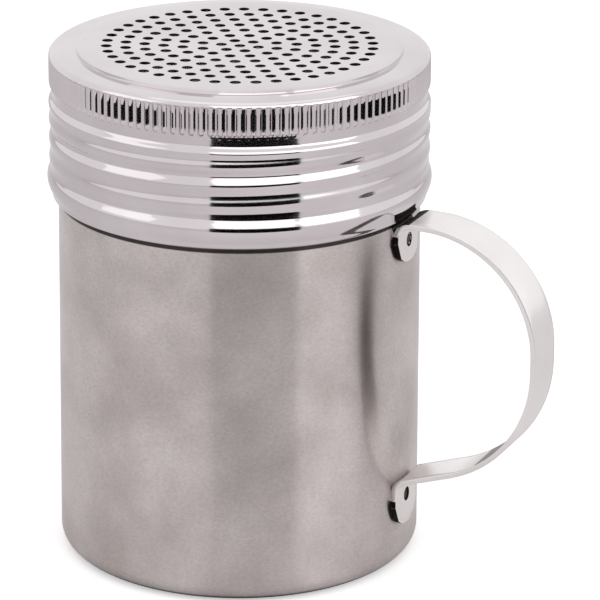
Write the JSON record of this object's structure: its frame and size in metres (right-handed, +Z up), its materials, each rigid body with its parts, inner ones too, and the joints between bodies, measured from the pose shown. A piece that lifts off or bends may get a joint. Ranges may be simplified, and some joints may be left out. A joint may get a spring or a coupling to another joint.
{
  "type": "seasoning shaker",
  "caption": "Hand shaker for dry seasoning: straight drawn cup, welded strap handle, perforated screw lid with a fluted grip band and a rolled edge.",
  "frame": {"origin": "on the cup's axis, in the plane that its foot stands on", "axes": "+Z up along the cup's axis, +X out through the middle of the handle"},
  "size_m": [0.0973, 0.0716, 0.0971],
  "materials": {
    "cup_steel": "satin",
    "handle_steel": "satin",
    "weld_steel": "heat-tinted",
    "lid_steel": "polished"
  },
  "bodies": {
    "cup": {"body_cup": "cup_steel", "handle_strap": "handle_steel", "handle_spot_welds": "weld_steel"},
    "lid_edge": {"lid_edge_band": "lid_steel"},
    "lid": {"screw_lid": "lid_steel"}
  },
  "joints": [
    {"name": "lid_rise", "type": "slide", "parent": "cup", "child": "lid_edge", "axis": [0, 0, 1], "range_m": [0, 0.0361]},
    {"name": "lid_turn", "type": "hinge", "parent": "lid_edge", "child": "lid", "pos_m": [0, 0, 0], "axis": [0, 0, 1], "range_deg": [0, 3600]}
  ],
  "couplings": [
    {"joint": "lid_rise", "follows": "lid_turn", "m_per_rad": 0.00057296}
  ]
}
